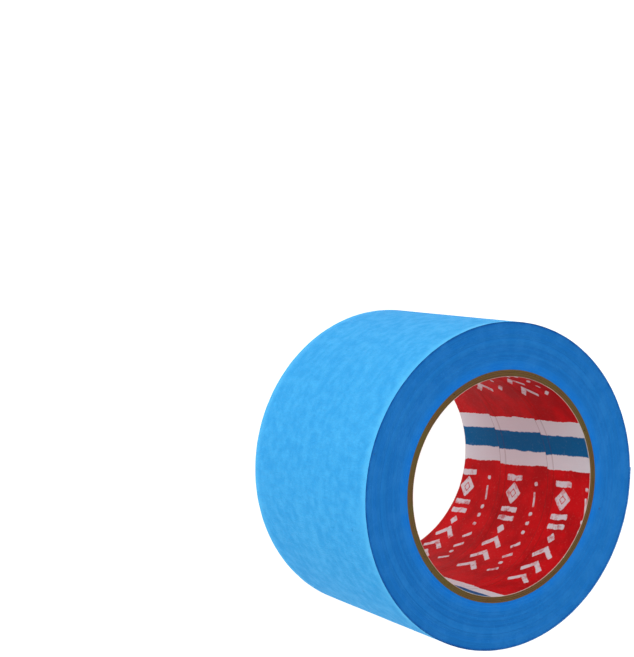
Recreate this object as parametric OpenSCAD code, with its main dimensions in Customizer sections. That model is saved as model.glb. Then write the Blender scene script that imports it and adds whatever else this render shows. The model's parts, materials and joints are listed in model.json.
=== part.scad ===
// A roll of crepe masking tape on a paper core, lying flat: +Z along the roll's axis,
// origin at the centre of the bottom face, millimetres.

/* [Tape] */
// Width of the tape, which is the height of the roll lying flat
tape_width = 75; // [18:1:100]
// Diameter over the outermost turn
roll_diameter = 114; // [96:1:180]
// Thickness of the crepe paper with its adhesive
tape_thickness = 0.14; // [0.1:0.01:0.25]

/* [Core] */
// Inside diameter of the core
bore_diameter = 76; // [60:0.5:80]
// Thickness of the printed inner ply
liner_thickness = 0.2; // [0.1:0.05:0.5]
// Thickness of each chipboard ply
ply_thickness = 0.55; // [0.3:0.05:0.8]

/* [Free end] */
// Length of tape that lifts off the turn beneath, measured round the roll
free_end_length = 36; // [16:1:60]
// Where the cut edge of the tape lies round the roll, in degrees from +X
free_end_angle = 108; // [0:1:359]
// Clearance between the lifting length and what it lies on or beside
free_end_gap = 0.04; // [0.02:0.01:0.08]

/* [Hidden] */
$fn = 180;

free_end_parts = 4;
bore_radius = bore_diameter / 2;
roll_radius = roll_diameter / 2;
// The outline is a spiral made of two half circles. Their centres stand this far
// either side of the axis, so that the radius grows by one thickness in a turn.
spiral_shift = tape_thickness / 4;
// The lower half circle carries the free end
end_radius = roll_radius - spiral_shift;
part_angle = free_end_length / free_end_parts / end_radius * 180 / PI;

crepe_blue = [0.25, 0.66, 0.95];
pack_blue = [0.11, 0.42, 0.72];
board_brown = [0.5, 0.42, 0.3];
print_red = [0.66, 0.13, 0.14];

// Inner radius of ply number i, counted from 1 at the liner
function ply_radius(i) = bore_radius + liner_thickness + (i - 1) * ply_thickness;

// A tube as high as the tape is wide, standing on the XY plane
module tube(inner, thickness) {
    difference() {
        cylinder(r = inner + thickness, h = tape_width);
        translate([0, 0, -1]) cylinder(r = inner, h = tape_width + 2);
    }
}

// Half a disc: side 1 is the half towards +Y, side -1 the half towards -Y
module half_disc(side, shift, r) {
    intersection() {
        translate([shift, 0]) circle(r = r);
        translate([-2 * r, side > 0 ? 0 : -2 * r]) square([4 * r, 2 * r]);
    }
}

// A disc with a spiral outline, which reaches radius r at its step on the +X axis
module wound_disc(r) {
    half_disc(1, -spiral_shift, r - 3 * spiral_shift);
    half_disc(-1, spiral_shift, r - spiral_shift);
}

// One turn of tape, from radius outer inwards by the given thickness
module turn(outer, thickness) {
    difference() {
        wound_disc(outer);
        wound_disc(outer - thickness);
    }
}

// A wedge seen from the centre of the half circle that carries the free end
module end_wedge(from, to) {
    reach = 2 * roll_radius;
    translate([spiral_shift, 0])
        polygon([[0, 0], [reach * cos(from), reach * sin(from)],
            [reach * cos(to), reach * sin(to)]]);
}

module core_ply(i) {
    color(board_brown) tube(ply_radius(i), ply_thickness);
}

module core_liner() {
    color(print_red) tube(bore_radius, liner_thickness);
}

// Every turn but the outermost one
module tape_pack() {
    color(pack_blue)
        difference() {
            rotate([0, 0, free_end_angle]) linear_extrude(tape_width)
                wound_disc(roll_radius - tape_thickness);
            translate([0, 0, -1]) cylinder(r = ply_radius(5), h = tape_width + 2);
        }
}

// The outermost turn, as far as the line where the free end starts to lift
module tape_last_turn() {
    color(crepe_blue)
        rotate([0, 0, free_end_angle]) linear_extrude(tape_width)
            difference() {
                turn(roll_radius, tape_thickness);
                end_wedge(-free_end_parts * part_angle, 0);
            }
}

// Length i of the free end, counted from 1 at the lifting line. Each one hinges on
// the last along the outer edge of the face where they meet.
module free_end(i) {
    color(crepe_blue)
        rotate([0, 0, free_end_angle]) translate([0, 0, free_end_gap])
            linear_extrude(tape_width - 2 * free_end_gap)
                intersection() {
                    turn(roll_radius, tape_thickness - free_end_gap);
                    end_wedge((i - 1 - free_end_parts) * part_angle,
                        (i - free_end_parts) * part_angle);
                }
}

core_liner();
core_ply(1);  // core_ply_1
core_ply(2);  // core_ply_2
core_ply(3);  // core_ply_3
core_ply(4);  // core_ply_4
tape_pack();
tape_last_turn();
free_end(1);  // free_end_1
free_end(2);  // free_end_2
free_end(3);  // free_end_3
free_end(4);  // free_end_4
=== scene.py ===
# A roll of blue crepe masking tape on a printed paper core, built round its CAD frame.
import json
import math
import random

import bpy
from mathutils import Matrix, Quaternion, Vector


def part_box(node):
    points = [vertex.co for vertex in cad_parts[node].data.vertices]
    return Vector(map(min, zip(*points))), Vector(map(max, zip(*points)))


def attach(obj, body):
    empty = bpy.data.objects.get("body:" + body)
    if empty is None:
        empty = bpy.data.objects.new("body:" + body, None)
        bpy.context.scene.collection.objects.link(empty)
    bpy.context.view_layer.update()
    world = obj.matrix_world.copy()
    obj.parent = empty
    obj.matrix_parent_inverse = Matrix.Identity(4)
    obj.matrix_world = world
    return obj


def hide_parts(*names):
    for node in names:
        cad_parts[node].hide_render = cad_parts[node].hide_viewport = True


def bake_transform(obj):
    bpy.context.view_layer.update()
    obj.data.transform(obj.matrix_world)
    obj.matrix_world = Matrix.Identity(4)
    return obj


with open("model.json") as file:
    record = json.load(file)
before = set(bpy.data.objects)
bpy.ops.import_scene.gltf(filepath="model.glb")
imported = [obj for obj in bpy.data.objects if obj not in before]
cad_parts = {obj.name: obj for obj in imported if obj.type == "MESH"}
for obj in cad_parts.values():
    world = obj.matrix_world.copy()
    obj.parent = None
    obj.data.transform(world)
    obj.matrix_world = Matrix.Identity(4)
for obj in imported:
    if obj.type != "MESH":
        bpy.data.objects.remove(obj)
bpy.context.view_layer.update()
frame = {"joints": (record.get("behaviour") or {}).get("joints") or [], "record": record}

mm = 0.001

# sizes that the pieces share, read from the frame
mounts = {m["name"]: m for m in frame["record"]["mounts"]}
boreRadius = mounts["core_bore"]["dims"]["r_mm"] * mm
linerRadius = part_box("core_liner")[1].x
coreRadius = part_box("core_ply_4")[1].x
plyThickness = (coreRadius - linerRadius) / 4
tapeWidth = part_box("tape_pack")[1].z
hinges = [Vector(j["pos_m"]) for j in frame["joints"]]
hingeAngles = [math.atan2(h.y, h.x) for h in hinges]
partAngle = hingeAngles[1] - hingeAngles[0]
cutAngle = hingeAngles[3] + partAngle  # where the tape's free end was cut
cutRadius = hinges[3].xy.length
tapeThickness = 0.14 * mm
packRadius = cutRadius - 1.9 * tapeThickness  # a tenth of a thickness into the last turn's start


def letGo():
    # back to object mode, with nothing selected
    if bpy.context.object and bpy.context.object.mode != "OBJECT":
        bpy.ops.object.mode_set(mode="OBJECT")
    bpy.ops.object.select_all(action="DESELECT")


def takeUp(piece):
    # only this piece is selected and active
    letGo()
    bpy.context.view_layer.objects.active = piece
    piece.select_set(True)


def pick(piece, keep):
    # selects the vertices that keep() says yes to, and stays in edit mode
    bpy.ops.object.mode_set(mode="EDIT")
    bpy.ops.mesh.select_mode(type="VERT")
    bpy.ops.mesh.select_all(action="DESELECT")
    bpy.ops.object.mode_set(mode="OBJECT")
    for vertex in piece.data.vertices:
        vertex.select = keep(vertex.co)
    bpy.ops.object.mode_set(mode="EDIT")


def profile(name, points):
    # an open line through points in the XZ plane: one vertex, extruded from point to point
    letGo()
    bpy.ops.mesh.primitive_plane_add(size=mm, location=(points[0][0], 0, points[0][1]))
    piece = bpy.context.object
    piece.name = piece.data.name = name
    bpy.ops.object.transform_apply(location=True, rotation=True, scale=True)
    bpy.ops.object.mode_set(mode="EDIT")
    bpy.ops.mesh.select_all(action="SELECT")
    bpy.ops.mesh.merge(type="CENTER")
    for a, b in zip(points, points[1:]):
        step = (b[0] - a[0], 0, b[1] - a[1])
        bpy.ops.mesh.extrude_region_move(TRANSFORM_OT_translate={"value": step})
    return piece


def spinOn(angle, steps, centre=(0, 0, 0), closed=False):
    # anticlockwise seen from above, from what is selected in edit mode
    bpy.ops.mesh.spin(steps=steps, angle=angle, center=centre, axis=(0, 0, -1), use_auto_merge=closed)


def apply(piece, kind, **settings):
    takeUp(piece)
    modifier = piece.modifiers.new(kind.title(), kind)
    for key, value in settings.items():
        setattr(modifier, key, value)
    bpy.ops.object.modifier_apply(modifier=modifier.name)


def faceOut(piece, sign=1):
    # open walls are turned by their first face: sign 1 faces away from the roll's axis
    first = piece.data.polygons[0]
    if first.normal.dot(Vector((first.center.x, first.center.y, 0))) * sign < 0:
        takeUp(piece)
        bpy.ops.object.mode_set(mode="EDIT")
        bpy.ops.mesh.select_all(action="SELECT")
        bpy.ops.mesh.flip_normals()
        bpy.ops.object.mode_set(mode="OBJECT")


def recalcNormals(piece):
    takeUp(piece)
    bpy.ops.object.mode_set(mode="EDIT")
    bpy.ops.mesh.select_all(action="SELECT")
    bpy.ops.mesh.remove_doubles(threshold=0.001 * mm)
    bpy.ops.mesh.normals_make_consistent(inside=False)
    bpy.ops.object.mode_set(mode="OBJECT")


def smooth(piece, degrees=35):
    takeUp(piece)
    bpy.ops.object.shade_smooth_by_angle(angle=math.radians(degrees))


def roughen(piece, grain, strength, depth=1, direction="NORMAL"):
    # pushes the surface in and out with a cloud of the given grain along X, Y and Z
    letGo()
    bpy.ops.object.empty_add(type="PLAIN_AXES")
    scaleBox = bpy.context.object
    scaleBox.scale = grain
    bpy.context.view_layer.update()
    cloud = bpy.data.textures.new(piece.name + "Grain", "CLOUDS")
    cloud.noise_scale = 1.0
    cloud.noise_depth = depth
    apply(piece, "DISPLACE", texture=cloud, texture_coords="OBJECT", texture_coords_object=scaleBox,
          strength=strength, mid_level=0.5, direction=direction)
    bpy.data.objects.remove(scaleBox)
    bpy.data.textures.remove(cloud)


def stripUv(piece):
    # U runs along the tape from the start of its last turn and V across it, both in metres
    mesh = piece.data
    layer = mesh.uv_layers.new(name="strip")
    for face in mesh.polygons:
        middle = (math.atan2(face.center.y, face.center.x) - cutAngle) % math.tau
        for i in face.loop_indices:
            co = mesh.vertices[mesh.loops[i].vertex_index].co
            turn = (math.atan2(co.y, co.x) - cutAngle) % math.tau
            turn += math.tau * round((middle - turn) / math.tau)
            layer.data[i].uv = (turn * cutRadius, co.z)


def cover(piece, *materials):
    # the first material is slot 0, which every face starts with
    for material in materials:
        piece.data.materials.append(material)


def finishPiece(piece, body, nodes):
    takeUp(piece)
    if body:
        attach(piece, body)
    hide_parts(*nodes)
    print("made", piece.name, len(piece.data.polygons), "faces")


# material helpers

def feed(tree, socket, value):
    # a link where the value comes from another node, and a plain number or colour otherwise
    if isinstance(value, bpy.types.NodeSocket):
        tree.links.new(value, socket)
    else:
        socket.default_value = value


def put(tree, kind, inputs=None, **settings):
    made = tree.nodes.new("ShaderNode" + kind)
    for key, value in settings.items():
        setattr(made, key, value)
    for socket, value in (inputs or {}).items():
        feed(tree, made.inputs[socket], value)
    return made


def calc(tree, operation, *values):
    return put(tree, "Math", dict(enumerate(values)), operation=operation).outputs[0]


def plus(tree, a, b):
    return calc(tree, "ADD", a, b)


def minus(tree, a, b):
    return calc(tree, "SUBTRACT", a, b)


def times(tree, a, b):
    return calc(tree, "MULTIPLY", a, b)


def over(tree, a, b):
    return calc(tree, "DIVIDE", a, b)


def span(tree, value, low, high, toLow=0.0, toHigh=1.0):
    # an eased step from toLow to toHigh while the value goes from low to high
    inputs = {"Value": value, "From Min": low, "From Max": high, "To Min": toLow, "To Max": toHigh}
    return put(tree, "MapRange", inputs, interpolation_type="SMOOTHSTEP").outputs["Result"]


def mix(tree, factor, a, b):
    # in colour mode a Mix node's colours are its inputs 6 and 7, and its result is output 2
    return put(tree, "Mix", {0: factor, 6: a, 7: b}, data_type="RGBA").outputs[2]


def noise(tree, vector, scale, detail=2.0, roughness=0.5):
    inputs = {"Vector": vector, "Scale": scale, "Detail": detail, "Roughness": roughness}
    return put(tree, "TexNoise", inputs).outputs[0]


def lineNoise(tree, place, scale, detail=2.0):
    # noise along one line, which makes rings when the place is a radius
    inputs = {"W": place, "Scale": scale, "Detail": detail}
    return put(tree, "TexNoise", inputs, noise_dimensions="1D").outputs[0]


def fromAxis(tree, parts):
    # the distance from the roll's axis, and the place in its plane
    flat = put(tree, "CombineXYZ", {0: parts[0], 1: parts[1]}).outputs[0]
    return put(tree, "VectorMath", {0: flat}, operation="LENGTH").outputs["Value"], flat


def shade(hexCode):
    # a colour as it is written on a paint chart, in the linear values that the nodes take
    parts = [int(hexCode[i:i + 2], 16) / 255 for i in (0, 2, 4)]
    return (*[p / 12.92 if p <= 0.04045 else ((p + 0.055) / 1.055) ** 2.4 for p in parts], 1.0)


def newGroup(name, inputs, outputs):
    group = bpy.data.node_groups.new(name, "ShaderNodeTree")
    for label, kind, value in inputs:
        socket = group.interface.new_socket(name=label, in_out="INPUT", socket_type="NodeSocket" + kind)
        if value is not None:
            socket.default_value = value
    for label, kind in outputs:
        group.interface.new_socket(name=label, in_out="OUTPUT", socket_type="NodeSocket" + kind)
    return group, group.nodes.new("NodeGroupInput").outputs, group.nodes.new("NodeGroupOutput").inputs


def useGroup(tree, group, **inputs):
    made = tree.nodes.new("ShaderNodeGroup")
    made.node_tree = group
    for label, value in inputs.items():
        feed(tree, made.inputs[label.replace("_", " ")], value)
    return made.outputs


def newMaterial(name, **constants):
    # a Principled material. The constants go on the shader's own sockets
    material = bpy.data.materials.new(name)
    material.use_nodes = True
    tree = material.node_tree
    tree.nodes.clear()
    shader = put(tree, "BsdfPrincipled", {k.replace("_", " "): v for k, v in constants.items()})
    out = put(tree, "OutputMaterial")
    tree.links.new(shader.outputs[0], out.inputs[0])
    return material, tree, shader


def bump(tree, shader, height, distance, strength):
    made = put(tree, "Bump", {"Height": height, "Distance": distance, "Strength": strength})
    tree.links.new(made.outputs[0], shader.inputs["Normal"])


def makeCrepeGroup():
    # creased paper: short creases that wander across the tape, and soft blotches where they crowd
    group, given, result = newGroup(
        "crepePaper",
        [("Vector", "Vector", None), ("Crease", "Float", 0.0006), ("Stretch", "Float", 5.0),
         ("Blotch", "Float", 0.0036)],
        [("Height", "Float"), ("Crease Tint And Shade", "Float"), ("Blotches", "Float"), ("Fibres", "Float")])
    parts = put(group, "SeparateXYZ", {0: given["Vector"]}).outputs
    wide = put(group, "CombineXYZ", {0: over(group, parts[0], given["Blotch"]),
                                     1: over(group, parts[1], given["Blotch"])}).outputs[0]
    blotches = noise(group, wide, 1.0, 2.0, 0.55)
    wander = times(group, noise(group, wide, 1.7, 1.0), 2.6)
    along = plus(group, over(group, parts[0], given["Crease"]), wander)
    across = over(group, parts[1], times(group, given["Crease"], given["Stretch"]))
    creased = put(group, "CombineXYZ", {0: along, 1: across}).outputs[0]
    folds = calc(group, "ABSOLUTE", minus(group, noise(group, creased, 1.0, 1.5, 0.5), 0.5))
    small = calc(group, "ABSOLUTE", minus(group, noise(group, creased, 2.3, 2.0, 0.6), 0.5))
    fibres = noise(group, creased, 6.0, 2.0, 0.7)
    height = plus(group, times(group, span(group, folds, 0.0, 0.16), 0.6),
                  times(group, span(group, small, 0.0, 0.16), 0.25))
    height = plus(group, height, times(group, blotches, 0.6))
    group.links.new(height, result["Height"])
    # the fold lines, which the materials paint darker: a deeper tint and painted shade in the creases
    group.links.new(span(group, folds, 0.0, 0.07, 1.0, 0.0), result["Crease Tint And Shade"])
    group.links.new(blotches, result["Blotches"])
    group.links.new(fibres, result["Fibres"])
    return group


def makeFibreGroup():
    # pulp fibres for board and paper: short flecks in random directions over a fine grain
    group, given, result = newGroup(
        "pulpFibres", [("Vector", "Vector", None), ("Grain", "Float", 0.0004)],
        [("Flecks", "Float"), ("Grain", "Float")])
    size = over(group, 1.0, given["Grain"])
    flecks = noise(group, given["Vector"], times(group, size, 0.6), 4.0, 0.7)
    grain = noise(group, given["Vector"], times(group, size, 2.0), 2.0, 0.6)
    group.links.new(span(group, flecks, 0.56, 0.70), result["Flecks"])
    group.links.new(grain, result["Grain"])
    return group


def makeDustGroup():
    # specks and smudges from handling, on the tape's back and on the cut edges of its turns
    group, given, result = newGroup(
        "handlingMarks", [("Vector", "Vector", None), ("Speck", "Float", 0.004)],
        [("Specks", "Float"), ("Smudge", "Float")])
    cells = put(group, "TexVoronoi", {"Vector": given["Vector"],
                                      "Scale": over(group, 1.0, given["Speck"])})
    near = span(group, cells.outputs["Distance"], 0.03, 0.085, 1.0, 0.0)
    few = span(group, put(group, "SeparateColor", {0: cells.outputs["Color"]}).outputs[0], 0.86, 0.9)
    group.links.new(times(group, near, few), result["Specks"])
    group.links.new(noise(group, given["Vector"], 45.0, 3.0, 0.6), result["Smudge"])
    return group


def makeInkGroup():
    # one printed mark: a rounded bar, turned and drawn as an outline. A line wider than the bar makes
    # it solid
    group, given, result = newGroup(
        "inkMark",
        [("Along", "Float", 0.0), ("Across", "Float", 0.0),
         ("Mark Along", "Float", 0.0), ("Mark Across", "Float", 0.0),
         ("Half Along", "Float", 1.0), ("Half Across", "Float", 1.0), ("Round", "Float", 0.3),
         ("Turn", "Float", 0.0), ("Line", "Float", 99.0), ("Soft", "Float", 0.18)],
        [("Ink", "Float")])
    fromMark = put(group, "CombineXYZ", {0: minus(group, given["Along"], given["Mark Along"]),
                                         1: minus(group, given["Across"], given["Mark Across"])}).outputs[0]
    turned = put(group, "VectorRotate", {"Vector": fromMark, "Angle": given["Turn"]},
                 rotation_type="Z_AXIS").outputs[0]
    parts = put(group, "SeparateXYZ", {0: turned}).outputs
    outside, reach = [], []
    for axis, half in ((0, "Half Along"), (1, "Half Across")):
        straight = minus(group, given[half], given["Round"])
        past = minus(group, calc(group, "ABSOLUTE", parts[axis]), straight)
        reach.append(past)
        outside.append(calc(group, "MAXIMUM", past, 0.0))
    corner = calc(group, "SQRT", plus(group, calc(group, "POWER", outside[0], 2.0),
                                      calc(group, "POWER", outside[1], 2.0)))
    inner = calc(group, "MINIMUM", calc(group, "MAXIMUM", reach[0], reach[1]), 0.0)
    distance = minus(group, plus(group, corner, inner), given["Round"])
    halfLine = times(group, given["Line"], 0.5)
    edge = minus(group, calc(group, "ABSOLUTE", plus(group, distance, halfLine)), halfLine)
    group.links.new(span(group, edge, times(group, given["Soft"], -1.0), given["Soft"], 1.0, 0.0),
                    result["Ink"])
    return group


crepeGroup = makeCrepeGroup()
fibreGroup = makeFibreGroup()
dustGroup = makeDustGroup()
inkGroup = makeInkGroup()

# the tape: its colours, and its sizes in millimetres
tapeLook = dict(
    # crease is the darker colour of the creases: a deeper tint and painted shade in the folds
    back="3eafef", backLight="4fbcf7", backDark="32a2e6", crease="2893da", paleEdge="58c2fa",
    # the edge colour and width make a paler band along both long edges of the tape
    creaseSize=0.62, creaseStretch=5.0, blotchSize=4.0, paleEdgeWidth=4.5, speckSize=9.0, backDepth=0.16,
    adhesive="82bfec", adhesiveDark="6db2e6", adhesiveShine="b4d8f2",
    gluedCrease=0.8, gluedStretch=6.0, gluedBlotch=3.4, gluedDepth=0.06,
    woundOuter="0c5098", woundMiddle="1870ba", woundInner="1277d0", woundPale="2b7fc8", woundFibre="3f8fd6",
    # gap is painted shade in the gaps between the turns of the wound end, and also the colour of the specks
    # on the back
    gap="0c559c", speck="35507a", ringSway=0.5, endSpeckSize=7.5, endDepth=0.05)


def makeCrepeMaterial():
    look = tapeLook
    material, tree, shader = newMaterial("crepeBack", Specular_IOR_Level=0.12)
    onTape = put(tree, "UVMap", uv_map="strip").outputs[0]
    crepe = useGroup(tree, crepeGroup, Vector=onTape, Crease=look["creaseSize"] * mm,
                     Stretch=look["creaseStretch"], Blotch=look["blotchSize"] * mm)
    marks = useGroup(tree, dustGroup, Vector=onTape, Speck=look["speckSize"] * mm)
    blotches = span(tree, crepe["Blotches"], 0.33, 0.70)
    colour = mix(tree, blotches, shade(look["backDark"]), shade(look["back"]))
    fibres = span(tree, crepe["Fibres"], 0.50, 0.80, 0.0, 0.5)
    colour = mix(tree, fibres, colour, shade(look["backLight"]))
    smudges = span(tree, marks["Smudge"], 0.45, 0.75, 0.0, 0.25)
    colour = mix(tree, smudges, colour, shade(look["backLight"]))
    # the creases painted darker: partly a deeper tint, partly painted shade in the folds
    colour = mix(tree, times(tree, crepe["Crease Tint And Shade"], 0.30), colour, shade(look["crease"]))
    # the two long edges of the tape are painted paler, in a patchy band
    across = put(tree, "SeparateXYZ", {0: onTape}).outputs[1]
    fromEdge = calc(tree, "MINIMUM", across, minus(tree, tapeWidth, across))
    paleBand = times(tree, span(tree, fromEdge, 0.0, look["paleEdgeWidth"] * mm, 0.75, 0.0),
                 span(tree, crepe["Fibres"], 0.2, 0.6, 0.7, 1.0))
    colour = mix(tree, paleBand, colour, shade(look["paleEdge"]))
    colour = mix(tree, times(tree, marks["Specks"], 0.25), colour, shade(look["gap"]))
    tree.links.new(colour, shader.inputs["Base Color"])
    tree.links.new(span(tree, crepe["Blotches"], 0.3, 0.7, 0.80, 0.64), shader.inputs["Roughness"])
    bump(tree, shader, crepe["Height"], look["backDepth"] * mm, 0.8)
    return material


def makeAdhesiveMaterial():
    look = tapeLook
    material, tree, shader = newMaterial("adhesiveSide", Specular_IOR_Level=0.5, Coat_Roughness=0.3)
    onTape = put(tree, "UVMap", uv_map="strip").outputs[0]
    crepe = useGroup(tree, crepeGroup, Vector=onTape, Crease=look["gluedCrease"] * mm,
                     Stretch=look["gluedStretch"], Blotch=look["gluedBlotch"] * mm)
    blotches = span(tree, crepe["Blotches"], 0.3, 0.75)
    colour = mix(tree, blotches, shade(look["adhesiveDark"]), shade(look["adhesive"]))
    fibres = span(tree, crepe["Fibres"], 0.5, 0.8, 0.0, 0.4)
    colour = mix(tree, fibres, colour, shade(look["adhesiveShine"]))
    # the creases painted in the darker blue of the back: partly a deeper tint, partly painted shade in the
    # folds
    colour = mix(tree, times(tree, crepe["Crease Tint And Shade"], 0.35), colour, shade(look["back"]))
    tree.links.new(colour, shader.inputs["Base Color"])
    tree.links.new(span(tree, crepe["Fibres"], 0.3, 0.7, 0.28, 0.5), shader.inputs["Roughness"])
    tree.links.new(span(tree, crepe["Blotches"], 0.4, 0.7, 0.15, 0.45), shader.inputs["Coat Weight"])
    bump(tree, shader, crepe["Height"], look["gluedDepth"] * mm, 0.5)
    return material


def makeWoundMaterial():
    # the end of the roll: the cut edges of its turns, darkest at the rim, with painted shade in the gaps
    # between the turns
    look = tapeLook
    material, tree, shader = newMaterial("woundEdges", Specular_IOR_Level=0.08)
    place = put(tree, "TexCoord").outputs["Object"]
    parts = put(tree, "SeparateXYZ", {0: place}).outputs
    radius, flat = fromAxis(tree, parts)
    sway = times(tree, noise(tree, flat, 28.0, 1.0), look["ringSway"] * mm)
    turn = over(tree, plus(tree, radius, sway), tapeThickness)
    lines = lineNoise(tree, turn, 1.0, 1.0)
    waves = lineNoise(tree, turn, 0.09)
    patches = noise(tree, place, 190.0, 4.0, 0.65)
    cut = noise(tree, place, 1500.0, 3.0, 0.7)
    marks = useGroup(tree, dustGroup, Vector=place, Speck=look["endSpeckSize"] * mm)
    share = over(tree, minus(tree, radius, coreRadius), packRadius - coreRadius)
    inner = span(tree, share, 0.0, 0.30)
    colour = mix(tree, inner, shade(look["woundInner"]), shade(look["woundMiddle"]))
    # the gap colour along the lines between the turns is painted shade in those gaps
    for amount, name in ((span(tree, share, 0.93, 0.99, 0.0, 0.95), "woundOuter"),
                         (span(tree, waves, 0.35, 0.65, 0.0, 0.20), "woundInner"),
                         (span(tree, lines, 0.30, 0.50, 0.36, 0.0), "gap"),
                         (span(tree, patches, 0.38, 0.68, 0.0, 0.42), "woundPale"),
                         (span(tree, cut, 0.55, 0.8, 0.0, 0.40), "woundFibre"),
                         (times(tree, marks["Specks"], 0.55), "speck")):
        colour = mix(tree, amount, colour, shade(look[name]))
    tree.links.new(colour, shader.inputs["Base Color"])
    tree.links.new(span(tree, cut, 0.3, 0.7, 0.66, 0.82), shader.inputs["Roughness"])
    height = plus(tree, times(tree, lines, 0.7), times(tree, cut, 0.5))
    bump(tree, shader, height, look["endDepth"] * mm, 0.6)
    return material


# the board of the core: its colours, its sizes in millimetres, and the first butt seam and the turn
# from one ply's seam to the next in radians
boardLook = dict(light="785a38", dark="523c20", green="5e5a2e", fleck="3b2d1c", glue="2c2114",
                 fibre=0.4, depth=0.08, seamWidth=0.22, firstSeam=0.6, seamTurn=1.7)


def makeBoardMaterial():
    look = boardLook
    material, tree, shader = newMaterial("chipboard", Specular_IOR_Level=0.1)
    place = put(tree, "TexCoord").outputs["Object"]
    fibre = useGroup(tree, fibreGroup, Vector=place, Grain=look["fibre"] * mm)
    parts = put(tree, "SeparateXYZ", {0: place}).outputs
    radius = fromAxis(tree, parts)[0]
    layers = lineNoise(tree, radius, 4200.0)
    tone = noise(tree, place, 60.0, 3.0, 0.6)
    colour = mix(tree, span(tree, layers, 0.35, 0.65), shade(look["dark"]), shade(look["light"]))
    colour = mix(tree, span(tree, tone, 0.40, 0.66, 0.0, 0.6), colour, shade(look["green"]))
    colour = mix(tree, times(tree, fibre["Flecks"], 0.5), colour, shade(look["fleck"]))
    # the butt seam of each ply's strip, a dark tick at its own place round the ring
    inPlies = over(tree, minus(tree, radius, linerRadius), plyThickness)
    seamPlace = calc(tree, "MULTIPLY_ADD", calc(tree, "FLOOR", inPlies), look["seamTurn"], look["firstSeam"])
    fromSeam = minus(tree, calc(tree, "ARCTAN2", parts[1], parts[0]), seamPlace)
    chord = times(tree, calc(tree, "SINE", times(tree, fromSeam, 0.5)), 2 * coreRadius / mm)
    seam = span(tree, calc(tree, "ABSOLUTE", chord), 0.5 * look["seamWidth"], look["seamWidth"], 0.75, 0.0)
    colour = mix(tree, seam, colour, shade(look["glue"]))
    tree.links.new(colour, shader.inputs["Base Color"])
    tree.links.new(span(tree, fibre["Grain"], 0.3, 0.7, 0.78, 0.92), shader.inputs["Roughness"])
    bump(tree, shader, plus(tree, fibre["Grain"], layers), look["depth"] * mm, 0.7)
    return material


# The liner is a strip of printed paper wound in a helix, in millimetres. A place on it is given as the
# way along the strip and the way across it. One print repeats three times in a turn, and steps by
# drift at each lap.
linerPrint = dict(
    pitch=28.5, start=2.5, lap=3.5, lean=0.09, drift=0.8, repeats=3,
    whiteLow=70.1, blueLow=75.7, blueHigh=83.2, whiteHigh=89.3,
    waver=1.6, bleed=0.7, fibre=0.5, depth=0.18,
    red="d30a14", redDark="b50811", white="e0e4ea", blue="00649e", paper="cfc6bd", lapShade="5a2420")

# plain printed marks in two rows, with their places along the strip and their sizes in millimetres
bigMarks = dict(across=9.2, half=4.4, stroke=1.0, bars=(65.2, 52.9, 49.2),
                diamond=59.4, diamondHalf=3.1, outline=1.8, spot=44.6, spotHalf=1.5,
                chevrons=(38.6, 31.4, 24.4), spread=2.0, slant=38)
smallMarks = dict(across=22.0, half=2.2, stroke=0.7, spots=(63.6, 52.0, 48.4, 44.4, 29.0),
                  dash=57.6, dashHalf=2.9, slants=(38.6, 33.2, 24.6), slant=35)


def printMarks(tree, along, across):
    # the ink of all the marks, as one mask
    masks = []

    def stamp(place, row, halfAlong, halfAcross, turn=0, corner=0.4, line=99.0):
        mark = useGroup(tree, inkGroup, Along=along, Across=across, Mark_Along=place, Mark_Across=row,
                        Half_Along=halfAlong, Half_Across=halfAcross, Round=corner,
                        Turn=math.radians(turn), Line=line)
        masks.append(mark["Ink"])

    big, row = bigMarks, bigMarks["across"]
    for place in big["bars"]:
        stamp(place, row, big["stroke"], big["half"], corner=0.5)
    stamp(big["diamond"], row, big["diamondHalf"], big["diamondHalf"], 45, 0.6, big["outline"])
    stamp(big["diamond"], row, big["stroke"], big["stroke"], 45)
    stamp(big["spot"], row, big["spotHalf"], big["spotHalf"], 45)
    for place in big["chevrons"]:
        for side in (-1, 1):
            arm = row + 0.5 + side * big["spread"]
            stamp(place, arm, big["stroke"], 0.8 * big["half"], -side * big["slant"])
    small, row = smallMarks, smallMarks["across"]
    for place in small["spots"]:
        stamp(place, row, small["stroke"], 1.3 * small["stroke"], corner=0.6)
    stamp(small["dash"], row, small["dashHalf"], 0.7 * small["stroke"], 8)
    for place in small["slants"]:
        stamp(place, row, small["stroke"], small["half"], small["slant"], 0.3)
    ink = masks[0]
    for mask in masks[1:]:
        ink = calc(tree, "MAXIMUM", ink, mask)
    return ink


def unevenness(tree, place, scale, width):
    # a shift to and fro, by up to half the width
    return times(tree, minus(tree, noise(tree, place, scale, 2.0), 0.5), width)


def nearLine(tree, across, line, width, strength):
    # a soft line along the strip
    return span(tree, calc(tree, "ABSOLUTE", minus(tree, across, line)), 0.0, width, strength, 0.0)


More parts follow.
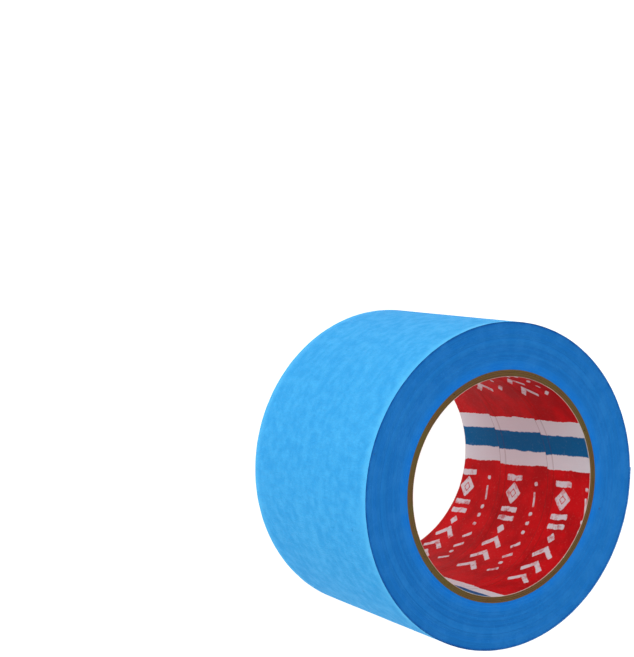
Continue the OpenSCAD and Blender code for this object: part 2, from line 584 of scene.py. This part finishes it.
def makeLinerMaterial():
    look = linerPrint
    material, tree, shader = newMaterial("printedLiner", Specular_IOR_Level=0.06)
    place = put(tree, "TexCoord").outputs["Object"]
    fibre = useGroup(tree, fibreGroup, Vector=place, Grain=look["fibre"] * mm)
    parts = put(tree, "SeparateXYZ", {0: place}).outputs
    arc = times(tree, calc(tree, "ARCTAN2", parts[1], parts[0]), boreRadius / mm)
    high = over(tree, parts[2], mm)
    circumference = math.tau * boreRadius / mm
    climb = look["pitch"] / circumference

    # the place on the strip: which winding, how far across, and how far along in one repeat
    level = plus(tree, high, times(tree, arc, climb))
    onStrip = over(tree, minus(tree, level, look["start"]), look["pitch"])
    winding = calc(tree, "FLOOR", onStrip)
    across = times(tree, minus(tree, onStrip, winding), look["pitch"])
    fromMiddle = minus(tree, high, 0.5 * tapeWidth / mm)
    leaned = minus(tree, arc, times(tree, fromMiddle, look["lean"]))
    stepped = plus(tree, leaned, times(tree, winding, look["drift"]))
    wavy = plus(tree, stepped, unevenness(tree, place, 130.0, look["waver"]))
    wavy = plus(tree, wavy, unevenness(tree, place, 900.0, look["bleed"]))
    repeat = (circumference + look["drift"]) / look["repeats"]
    first = look["whiteHigh"] - repeat
    along = plus(tree, calc(tree, "FLOORED_MODULO", minus(tree, wavy, first), repeat), first)

    # the inks: red all over, then the marks, the white band and the blue one in its middle
    white = span(tree, along, look["whiteLow"] - 0.15, look["whiteLow"] + 0.15)
    blue = times(tree, span(tree, along, look["blueLow"] - 0.2, look["blueLow"] + 0.2),
                 span(tree, along, look["blueHigh"] - 0.2, look["blueHigh"] + 0.2, 1.0, 0.0))
    patchy = noise(tree, place, 320.0, 3.0, 0.7)
    ink = times(tree, printMarks(tree, along, across), span(tree, patchy, 0.30, 0.52, 0.25, 1.0))
    cloudy = span(tree, noise(tree, place, 90.0, 3.0, 0.6), 0.35, 0.65)
    colour = mix(tree, cloudy, shade(look["redDark"]), shade(look["red"]))
    colour = mix(tree, times(tree, ink, 0.92), colour, shade(look["white"]))
    colour = mix(tree, white, colour, shade(look["white"]))
    blue = times(tree, blue, span(tree, patchy, 0.25, 0.40, 0.93, 1.0))
    colour = mix(tree, blue, colour, shade(look["blue"]))
    colour = mix(tree, times(tree, fibre["Flecks"], 0.07), colour, shade(look["paper"]))

    # shade along both edges of the lap, and bare paper at the cut ends
    lapEdges = calc(tree, "MAXIMUM", nearLine(tree, across, 0.1, 0.35, 1.0),
                    nearLine(tree, across, look["lap"], 0.5, 0.5))
    colour = mix(tree, times(tree, lapEdges, 0.6), colour, shade(look["lapShade"]))
    ends = calc(tree, "MINIMUM", high, minus(tree, tapeWidth / mm, high))
    frayed = plus(tree, ends, times(tree, minus(tree, patchy, 0.5), 0.5))
    colour = mix(tree, span(tree, frayed, 0.18, 0.42, 0.75, 0.0), colour, shade(look["paper"]))
    tree.links.new(colour, shader.inputs["Base Color"])
    tree.links.new(span(tree, fibre["Grain"], 0.3, 0.7, 0.50, 0.66), shader.inputs["Roughness"])
    crumple = times(tree, noise(tree, place, 160.0, 3.0, 0.5), 2.5)
    bump(tree, shader, plus(tree, crumple, times(tree, fibre["Grain"], 0.2)), look["depth"] * mm, 0.6)
    return material


crepeBack = makeCrepeMaterial()
adhesiveSide = makeAdhesiveMaterial()
woundEdges = makeWoundMaterial()
chipboard = makeBoardMaterial()
printedLiner = makeLinerMaterial()
print("materials ready")


# the printed paper inside the core, wound with a lap between its turns, in millimetres
liner = dict(steps=192, windings=6, skin=0.12, paper=0.09, edge=0.3, slope=0.5, trim=0.03,
             crumpleGrain=5.0, crumple=0.05)


def makeLiner():
    size, pitch, lap = liner, linerPrint["pitch"], linerPrint["lap"]
    skin, edge, slope, trim = size["skin"] * mm, size["edge"], size["slope"], size["trim"] * mm
    proud, low = boreRadius, boreRadius + skin
    # one pitch of the strip's section: a rounded edge, the lap that stands proud, and the slope off it
    section = [(low, 0.0), (proud + skin / 6, 0.2 * edge), (proud, edge), (proud, lap - slope),
               (proud + skin / 2, lap), (low, lap + 1.2 * slope),
               (low, 0.4 * pitch), (low, 0.7 * pitch), (low, pitch)]
    start = linerPrint["start"] + 0.5 * size["windings"] * pitch
    piece = profile("printed_liner", [(r, (start + z) * mm) for r, z in section])
    apply(piece, "SCREW", angle=math.tau, screw_offset=-pitch * mm, iterations=size["windings"],
          steps=size["steps"], render_steps=size["steps"], axis="Z", use_merge_vertices=True,
          use_normal_calculate=True)
    bpy.ops.object.mode_set(mode="EDIT")
    for place, normal in ((trim, (0, 0, -1)), (tapeWidth - trim, (0, 0, 1))):
        bpy.ops.mesh.select_all(action="SELECT")
        bpy.ops.mesh.bisect(plane_co=(0, 0, place), plane_no=normal, clear_outer=True)
    bpy.ops.mesh.select_all(action="SELECT")
    bpy.ops.mesh.remove_doubles(threshold=0.002 * mm)
    bpy.ops.object.mode_set(mode="OBJECT")
    faceOut(piece, -1)
    roughen(piece, [size["crumpleGrain"] * mm] * 3, size["crumple"] * mm)
    apply(piece, "SOLIDIFY", thickness=size["paper"] * mm, offset=-1.0)
    smooth(piece)
    cover(piece, printedLiner)
    finishPiece(piece, "roll", ["core_liner"])


# the four plies of board, each a tube with soft, rough cut ends, in millimetres
ply = dict(steps=320, divisions=5, corner=0.09, setBack=(0.05, 0.12, 0.08, 0.03), roughGrain=0.9, rough=0.10)


def makePly(number):
    node = "core_ply_%d" % number
    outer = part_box(node)[1].x
    inner = linerRadius if number == 1 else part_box("core_ply_%d" % (number - 1))[1].x
    back, corner = ply["setBack"][number - 1] * mm, ply["corner"] * mm
    wide = (outer - inner) - 2 * corner
    rim = [(inner, back + corner), (inner + 0.3 * corner, back + 0.3 * corner), (inner + corner, back)]
    for i in range(1, ply["divisions"] + 1):
        rim.append((inner + corner + wide * i / ply["divisions"], back))
    rim += [(outer - 0.3 * corner, back + 0.3 * corner), (outer, back + corner)]
    top = [(r, tapeWidth - z) for r, z in reversed(rim)]
    piece = profile("board_ply_%d" % number, rim + top + rim[:1])
    bpy.ops.mesh.select_all(action="SELECT")
    bpy.ops.mesh.remove_doubles(threshold=0.001 * mm)
    bpy.ops.mesh.select_all(action="SELECT")
    spinOn(math.tau, ply["steps"], closed=True)
    recalcNormals(piece)
    roughen(piece, [ply["roughGrain"] * mm] * 3, ply["rough"] * mm, 2, "Z")
    smooth(piece)
    cover(piece, chipboard)
    finishPiece(piece, "roll", [node])


# the wound tape: every turn's edge is a small ridge, and groups of turns stand a little in or out.
# follow is how much of the slip of one turn passes on to the next
pack = dict(steps=140, sink=0.06, ridge=0.035, slip=0.04, follow=0.82, jitter=0.012, seed=7)


def makePack():
    turns = round((packRadius - coreRadius) / tapeThickness)
    build = packRadius - coreRadius
    random.seed(pack["seed"])
    rims = []
    for side in (0, 1):
        rim, slip = [], 0.0
        for i in range(2 * turns + 1):
            if i % 2 == 0:
                slip = pack["follow"] * slip + random.uniform(-pack["slip"], pack["slip"])
                depth = pack["sink"] + slip + pack["ridge"]
            else:
                depth = pack["sink"] + slip + random.uniform(-pack["jitter"], pack["jitter"])
            depth = max(0.0, depth) * mm
            r = coreRadius + build * i / (2 * turns)
            rim.append((r, depth if side == 0 else tapeWidth - depth))
        rims.append(rim)
    outline = rims[0] + rims[1][::-1]
    piece = profile("wound_tape", outline + outline[:1])
    bpy.ops.mesh.select_all(action="SELECT")
    bpy.ops.mesh.remove_doubles(threshold=0.001 * mm)
    bpy.ops.mesh.select_all(action="SELECT")
    spinOn(math.tau, pack["steps"], closed=True)
    recalcNormals(piece)
    smooth(piece, 50)
    stripUv(piece)
    cover(piece, woundEdges, crepeBack)
    for face in piece.data.polygons:
        onSide = abs(face.normal.z) < 0.3 and face.center.xy.length > packRadius - tapeThickness
        face.material_index = 1 if onSide else 0
    finishPiece(piece, "roll", ["tape_pack"])


# the outer turn and the free end: one strip of creased paper, spun as a spiral, with its sizes in
# millimetres
strip = dict(rows=56, stepDegrees=0.5, gap=0.04, lift=0.22, liftLength=5.0, ragged=0.12,
             creaseGrain=(1.5, 1.5, 9.0), crease=0.07, blotchGrain=(4.0, 4.0, 5.0), blotch=0.09)


def startLine(name, radius, angle):
    # an upright line across the width of the tape
    letGo()
    bpy.ops.mesh.primitive_plane_add(size=tapeWidth, location=(0, 0, tapeWidth / 2),
                                     rotation=(math.pi / 2, 0, 0))
    piece = bpy.context.object
    piece.name = piece.data.name = name
    bpy.ops.object.transform_apply(location=True, rotation=True, scale=True)
    pick(piece, lambda co: co.x < 0)
    bpy.ops.mesh.delete(type="VERT")
    bpy.ops.mesh.select_all(action="SELECT")
    bpy.ops.mesh.subdivide(number_cuts=strip["rows"] - 1)
    bpy.ops.mesh.select_all(action="SELECT")
    place = Vector((radius * math.cos(angle), radius * math.sin(angle), 0))
    bpy.ops.transform.translate(value=place - Vector((tapeWidth / 2, 0, 0)))
    return piece


def spiralCentre(half):
    # the spiral is two half circles, whose centres stand a quarter of a thickness off the axis
    shift = tapeThickness / 4 * (1 if half else -1)
    return (shift * math.cos(cutAngle), shift * math.sin(cutAngle), 0)


def stepsFor(angle):
    return max(1, round(math.degrees(angle) / strip["stepDegrees"]))


def dressStrip(piece, thickness):
    faceOut(piece)
    for grain, amount in ((strip["creaseGrain"], strip["crease"]), (strip["blotchGrain"], strip["blotch"])):
        roughen(piece, [g * mm for g in grain], amount * mm)
    cover(piece, crepeBack, adhesiveSide, woundEdges)
    apply(piece, "SOLIDIFY", thickness=thickness, offset=-1.0, material_offset=1, material_offset_rim=2)
    stripUv(piece)
    smooth(piece, 60)


def makeLastTurn():
    # one turn from under the cut end of the tape round to the first hinge
    piece = startLine("outer_turn", cutRadius - tapeThickness, cutAngle)
    spinOn(math.pi, stepsFor(math.pi), spiralCentre(0))
    rest = math.pi - 4 * partAngle
    spinOn(rest, stepsFor(rest), spiralCentre(1))
    bpy.ops.object.mode_set(mode="OBJECT")
    dressStrip(piece, tapeThickness)
    finishPiece(piece, "roll", ["tape_last_turn"])


def liftEnd(piece):
    # the last few millimetres stand a little off the roll, and the cut is slightly ragged
    length = strip["liftLength"] * mm / cutRadius
    outward = Vector((math.cos(cutAngle), math.sin(cutAngle), 0))
    steps = stepsFor(length)
    for i in range(1, steps + 1):
        share = i / steps
        near = cutAngle - length * (1 - (i - 0.5) / steps)
        takeUp(piece)
        pick(piece, lambda co: math.atan2(co.y, co.x) > near)
        bpy.ops.transform.translate(value=outward * (strip["lift"] * mm * 2 * share / steps))
    lastStep = cutAngle - 0.2 * math.radians(strip["stepDegrees"])
    pick(piece, lambda co: math.atan2(co.y, co.x) > lastStep)
    bpy.ops.transform.vertex_random(offset=strip["ragged"] * mm, uniform=0.0, normal=0.0, seed=4)
    bpy.ops.object.mode_set(mode="OBJECT")


def makeFreeEnd(number):
    # each length reaches half a part to either side of its hinge. The first one starts at its hinge
    # and the last one ends at the cut
    first = hingeAngles[number] - (partAngle / 2 if number else 0)
    last = cutAngle if number == 3 else hingeAngles[number] + partAngle / 2
    piece = startLine("free_end_length_%d" % (number + 1), cutRadius, first)
    spinOn(last - first, stepsFor(last - first), spiralCentre(1))
    bpy.ops.object.mode_set(mode="OBJECT")
    if number == 3:
        liftEnd(piece)
    dressStrip(piece, tapeThickness - strip["gap"] * mm)
    finishPiece(piece, None, ["free_end_%d" % (number + 1)])
    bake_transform(piece)


makeLiner()
for number in (1, 2, 3, 4):
    makePly(number)
makePack()
makeLastTurn()
for number in range(4):
    makeFreeEnd(number)
print("pieces ready")


# floor, lights and camera, in metres. Each light is its name, place, width and power
studio = dict(
    floorSize=16.0, floorDrop=0.0001, floorWhite=(0.3, 0.3, 0.3, 1.0), floorGlow=0.95, world=0.55,
    lights=[("key", (-0.60, -0.82, 1.05), 0.9, 8.6), ("fill", (0.7, -0.6, 0.9), 0.8, 1.2),
            ("top", (0.2, 0.5, 1.4), 1.0, 3.0)])

# the place of the camera, what it looks at, its roll in degrees, and its lens and film in millimetres
cameraSet = dict(eye=(0.0, -0.3391, 0.4961), aim=(-0.0374, -0.0658, 0.0375), roll=97.1,
                 lens=85.1, film=36.0, nearest=0.01)


def makeFloor():
    letGo()
    bpy.ops.mesh.primitive_plane_add(size=studio["floorSize"], location=(0, 0, -studio["floorDrop"]))
    floor = bpy.context.object
    floor.name = "studio_floor"
    material, _, shader = newMaterial("floorPaper", Roughness=0.9, Emission_Strength=studio["floorGlow"])
    shader.inputs["Base Color"].default_value = studio["floorWhite"]
    shader.inputs["Emission Color"].default_value = (1, 1, 1, 1)
    floor.data.materials.append(material)


def makeLights():
    world = bpy.data.worlds.new("studio")
    bpy.context.scene.world = world
    world.use_nodes = True
    world.node_tree.nodes["Background"].inputs["Color"].default_value = (1, 1, 1, 1)
    world.node_tree.nodes["Background"].inputs["Strength"].default_value = studio["world"]
    middle = Vector((0, 0, tapeWidth / 2))
    for name, place, size, power in studio["lights"]:
        lamp = bpy.data.lights.new(name, "AREA")
        lamp.energy, lamp.size = power, size
        holder = bpy.data.objects.new(name, lamp)
        bpy.context.scene.collection.objects.link(holder)
        holder.location = place
        holder.rotation_euler = (middle - Vector(place)).to_track_quat("-Z", "Y").to_euler()


def makeCamera():
    lens = bpy.data.cameras.new("camera")
    lens.lens = cameraSet["lens"]
    lens.sensor_width = cameraSet["film"]
    lens.clip_start = cameraSet["nearest"]
    camera = bpy.data.objects.new("camera", lens)
    bpy.context.scene.collection.objects.link(camera)
    eye = Vector(cameraSet["eye"])
    camera.rotation_mode = "QUATERNION"
    camera.location = eye
    level = (Vector(cameraSet["aim"]) - eye).to_track_quat("-Z", "Y")
    camera.rotation_quaternion = level @ Quaternion((0, 0, 1), math.radians(cameraSet["roll"]))
    bpy.context.scene.camera = camera


makeFloor()
makeLights()
makeCamera()
bpy.context.scene.view_settings.view_transform = "Standard"
print("studio ready")
